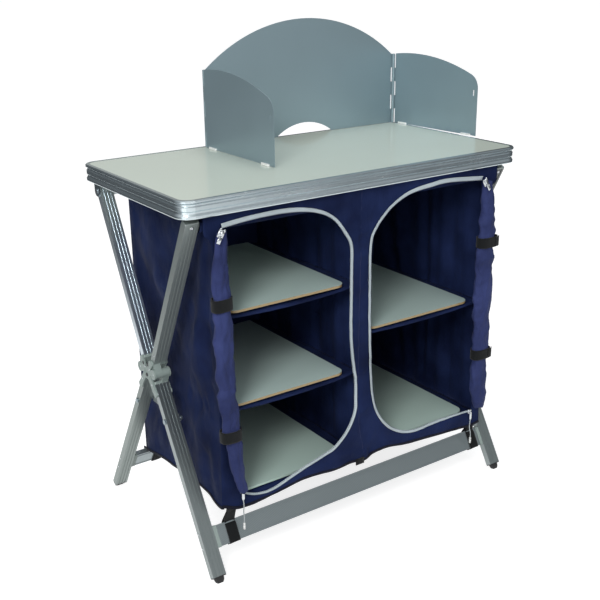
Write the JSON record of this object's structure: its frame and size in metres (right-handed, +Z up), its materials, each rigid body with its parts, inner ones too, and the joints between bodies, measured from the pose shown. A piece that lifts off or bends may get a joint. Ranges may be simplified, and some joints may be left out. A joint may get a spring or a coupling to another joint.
{
  "type": "camp kitchen table",
  "caption": "Folding camp kitchen: board top in an aluminium edge on crossed legs, with a cloth cabinet of shelves and a folding windscreen.",
  "frame": {"origin": "on the floor, under the middle of the table top", "axes": "+X along the table to the right, +Y to the back where the windscreen stands, +Z up"},
  "size_m": [0.8744, 0.4902, 1.0695],
  "materials": {
    "leg_aluminium": "drawn, satin anodised",
    "edge_aluminium": "drawn, bright anodised",
    "board_laminate": "fibreboard with a glossy grey-green laminate",
    "shelf_board": "fibreboard with a grey-green face and bare tan edges",
    "pale_plastic": "moulded, pale grey-green",
    "steel": "zinc plated",
    "stay_metal": "flat strip",
    "boot_rubber": "moulded",
    "cabinet_cloth": "woven nylon, navy",
    "door_cloth": "woven nylon, navy, inner face",
    "zip_tape": "woven zip tape, pale grey",
    "black_webbing": "hook-and-loop webbing",
    "pull_cord": "braided cord, pale grey",
    "screen_metal": "blue-grey coated sheet",
    "white_plastic": "moulded"
  },
  "bodies": {
    "root": {"hub_plates": "pale_plastic", "hub_pins": "steel", "front_panel": "cabinet_cloth", "back_panel": "cabinet_cloth", "upright_panels": "cabinet_cloth", "floor_panel": "cabinet_cloth", "shelf_slings": "cabinet_cloth", "zip_tapes": "zip_tape", "door_rolls": "door_cloth", "roll_straps": "black_webbing", "zip_sliders": "steel"},
    "upper_front": {"upper_front_leg_left": "leg_aluminium", "upper_front_leg_right": "leg_aluminium", "upper_front_knuckles": "pale_plastic", "upper_front_end_caps": "pale_plastic", "upper_front_bar": "leg_aluminium"},
    "upper_rear": {"upper_rear_leg_left": "leg_aluminium", "upper_rear_leg_right": "leg_aluminium", "upper_rear_knuckles": "pale_plastic", "upper_rear_end_caps": "pale_plastic", "upper_rear_bar": "leg_aluminium"},
    "lower_front": {"lower_front_leg_left": "leg_aluminium", "lower_front_leg_right": "leg_aluminium", "lower_front_knuckles": "pale_plastic", "lower_front_bar": "leg_aluminium", "lower_front_bar_ends": "pale_plastic", "front_feet": "boot_rubber", "front_stay_bolts": "steel", "front_lower_straps": "black_webbing"},
    "lower_rear": {"lower_rear_leg_left": "leg_aluminium", "lower_rear_leg_right": "leg_aluminium", "lower_rear_knuckles": "pale_plastic", "lower_rear_bar": "leg_aluminium", "lower_rear_bar_ends": "pale_plastic", "rear_feet": "boot_rubber", "rear_stay_bolts": "steel", "rear_lower_straps": "black_webbing"},
    "stays": {"stays": "stay_metal"},
    "top_pivots": {"rear_pivot_pins": "steel"},
    "table_top": {"table_board": "board_laminate", "edge_profile": "edge_aluminium", "rear_pivot_brackets": "steel", "front_rests": "pale_plastic"},
    "windscreen": {"windscreen_panel": "screen_metal", "windscreen_hinge_rods": "steel"},
    "left_wing": {"windscreen_wing_left": "screen_metal", "wing_feet_left": "white_plastic"},
    "right_wing": {"windscreen_wing_right": "screen_metal", "wing_feet_right": "white_plastic"},
    "left_zip_pull": {"zip_pull_left": "steel", "zip_cord_left": "pull_cord", "cord_tip_left": "white_plastic"},
    "right_zip_pull": {"zip_pull_right": "steel", "zip_cord_right": "pull_cord", "cord_tip_right": "white_plastic"},
    "left_top_shelf": {"shelf_left_top": "shelf_board"},
    "left_middle_shelf": {"shelf_left_middle": "shelf_board"},
    "left_bottom_shelf": {"shelf_left_bottom": "shelf_board"},
    "right_middle_shelf": {"shelf_right_middle": "shelf_board"},
    "right_bottom_shelf": {"shelf_right_bottom": "shelf_board"}
  },
  "joints": [
    {"name": "frame_fold", "type": "hinge", "parent": "root", "child": "lower_front", "pos_m": [0, -0.029, 0.392], "axis": [1, 0, 0], "range_deg": [0, 30.72]},
    {"name": "lower_rear_fold", "type": "hinge", "parent": "root", "child": "lower_rear", "pos_m": [0, 0.029, 0.392], "axis": [1, 0, 0], "range_deg": [-30.72, 0]},
    {"name": "upper_front_fold", "type": "hinge", "parent": "root", "child": "upper_front", "pos_m": [0, -0.029, 0.392], "axis": [1, 0, 0], "range_deg": [-27, 0]},
    {"name": "upper_rear_fold", "type": "hinge", "parent": "root", "child": "upper_rear", "pos_m": [0, 0.029, 0.392], "axis": [1, 0, 0], "range_deg": [0, 27]},
    {"name": "stay_swing", "type": "hinge", "parent": "lower_front", "child": "stays", "pos_m": [0, -0.06451, 0.297], "axis": [1, 0, 0], "range_deg": [0, 59.28]},
    {"name": "top_level", "type": "hinge", "parent": "upper_rear", "child": "top_pivots", "pos_m": [0, 0.18685, 0.74152], "axis": [1, 0, 0], "range_deg": [-27, 0]},
    {"name": "top_tilt", "type": "hinge", "parent": "top_pivots", "child": "table_top", "pos_m": [0, 0.18685, 0.74152], "axis": [-1, 0, 0], "range_deg": [0, 100]},
    {"name": "windscreen_lift", "type": "slide", "parent": "table_top", "child": "windscreen", "axis": [0, 0, 1], "range_m": [0, 0.2]},
    {"name": "left_wing_hinge", "type": "hinge", "parent": "windscreen", "child": "left_wing", "pos_m": [-0.129, 0.208, 0.799], "axis": [0, 0, 1], "range_deg": [-90, 89]},
    {"name": "right_wing_hinge", "type": "hinge", "parent": "windscreen", "child": "right_wing", "pos_m": [0.4205, 0.208, 0.799], "axis": [0, 0, -1], "range_deg": [-86.4, 89.6]},
    {"name": "left_top_shelf_slide", "type": "slide", "parent": "root", "child": "left_top_shelf", "axis": [0, -1, 0], "range_m": [0, 0.34]},
    {"name": "left_middle_shelf_slide", "type": "slide", "parent": "root", "child": "left_middle_shelf", "axis": [0, -1, 0], "range_m": [0, 0.34]},
    {"name": "left_bottom_shelf_lift", "type": "slide", "parent": "root", "child": "left_bottom_shelf", "axis": [0, 0, 1], "range_m": [0, 0.12]},
    {"name": "right_middle_shelf_slide", "type": "slide", "parent": "root", "child": "right_middle_shelf", "axis": [0, -1, 0], "range_m": [0, 0.34]},
    {"name": "right_bottom_shelf_lift", "type": "slide", "parent": "root", "child": "right_bottom_shelf", "axis": [0, 0, 1], "range_m": [0, 0.12]},
    {"name": "left_pull_swing", "type": "hinge", "parent": "root", "child": "left_zip_pull", "pos_m": [-0.318, -0.2149, 0.1712], "axis": [-1, 0, 0], "range_deg": [0, 100]},
    {"name": "right_pull_swing", "type": "hinge", "parent": "root", "child": "right_zip_pull", "pos_m": [0.329, -0.2149, 0.1622], "axis": [-1, 0, 0], "range_deg": [0, 100]}
  ],
  "couplings": [
    {"joint": "lower_rear_fold", "follows": "frame_fold", "ratio": -1},
    {"joint": "upper_front_fold", "follows": "frame_fold", "ratio": -0.87871},
    {"joint": "upper_rear_fold", "follows": "frame_fold", "ratio": 0.87871},
    {"joint": "stay_swing", "follows": "frame_fold", "ratio": 1.9297},
    {"joint": "top_level", "follows": "frame_fold", "ratio": -0.87871}
  ]
}
